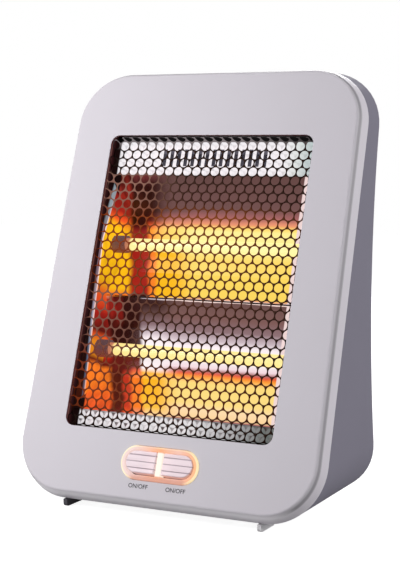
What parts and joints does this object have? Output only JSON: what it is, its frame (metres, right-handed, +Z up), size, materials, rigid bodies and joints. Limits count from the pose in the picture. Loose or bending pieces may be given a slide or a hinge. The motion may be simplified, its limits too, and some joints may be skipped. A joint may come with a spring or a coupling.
{
  "type": "halogen heater",
  "caption": "Small free-standing radiant heater: leaning bezel, guard grille over glowing quartz tubes in bright troughs, lit rocker switch, curved rear housing on thin fin feet.",
  "frame": {"origin": "centre of the bounding box at floor level, under the feet", "axes": "+Z up, the face and switch look towards -Y, +X to the right of a person who faces the front"},
  "size_m": [0.2468, 0.1396, 0.32],
  "materials": {
    "bezel_plastic": "fine satin texture",
    "housing_plastic": "fine satin texture",
    "foot_plastic": "satin",
    "grille_steel": "satin dark coat on perforated sheet",
    "bright_steel": "bright rolled sheet",
    "zinc_steel": "zinc plated",
    "quartz_glass": "clear quartz",
    "element_wire": "glowing orange-yellow when on",
    "ceramic": "unglazed",
    "amber_lens": "translucent, lit from behind",
    "rocker_plastic": "satin",
    "black_plastic": "plain",
    "lamp_glass": "clear glass over an orange glow",
    "inlet_rubber": "plain",
    "cream_plastic": "plain",
    "wire_sleeve": "woven glass sleeve"
  },
  "bodies": {
    "root": {"front_bezel": "bezel_plastic", "guard_grille": "grille_steel", "upper_reflector": "bright_steel", "lower_reflector": "bright_steel", "left_end_plate": "zinc_steel", "right_end_plate": "zinc_steel", "heat_shield": "zinc_steel", "thermal_cutout": "black_plastic", "upper_quartz_tube": "quartz_glass", "upper_heating_element": "element_wire", "upper_left_ceramic_cap": "ceramic", "upper_left_tube_clip": "bright_steel", "upper_right_ceramic_cap": "ceramic", "upper_right_tube_clip": "bright_steel", "lower_quartz_tube": "quartz_glass", "lower_heating_element": "element_wire", "lower_left_ceramic_cap": "ceramic", "lower_left_tube_clip": "bright_steel", "lower_right_ceramic_cap": "ceramic", "lower_right_tube_clip": "bright_steel", "switch_light_frame": "amber_lens", "left_switch_body": "black_plastic", "left_neon_lamp": "lamp_glass", "right_switch_body": "black_plastic", "right_neon_lamp": "lamp_glass", "top_left_screw": "zinc_steel", "left_plate_screw_1": "zinc_steel", "left_plate_screw_2": "zinc_steel", "top_right_screw": "zinc_steel", "right_plate_screw_1": "zinc_steel", "right_plate_screw_2": "zinc_steel", "tube_bridge_wire": "wire_sleeve", "rear_housing": "housing_plastic", "cord_inlet_bush": "inlet_rubber", "terminal_block": "cream_plastic", "left_foot": "foot_plastic", "left_foot_screw_1": "zinc_steel", "left_foot_screw_2": "zinc_steel", "right_foot": "foot_plastic", "right_foot_screw_1": "zinc_steel", "right_foot_screw_2": "zinc_steel", "tip_over_spring": "zinc_steel", "tip_over_switch": "cream_plastic", "base_left_screw": "zinc_steel", "base_right_screw": "zinc_steel"},
    "left_rocker": {"left_rocker": "rocker_plastic"},
    "right_rocker": {"right_rocker": "rocker_plastic"},
    "tip_over_plunger": {"tip_over_plunger": "black_plastic"}
  },
  "joints": [
    {"name": "left_rocker_hinge", "type": "hinge", "parent": "root", "child": "left_rocker", "pos_m": [-0.0149, -0.05743, 0.03752], "axis": [1, 0, 0], "range_deg": [0, 14]},
    {"name": "right_rocker_hinge", "type": "hinge", "parent": "root", "child": "right_rocker", "pos_m": [0.0149, -0.05743, 0.03752], "axis": [1, 0, 0], "range_deg": [0, 14]},
    {"name": "tip_over_slide", "type": "slide", "parent": "root", "child": "tip_over_plunger", "axis": [0, 0, -1], "range_m": [0, 0.004], "stiffness_N_per_m": 60, "springref_m": 0.008, "deforming": ["tip_over_spring"]}
  ]
}
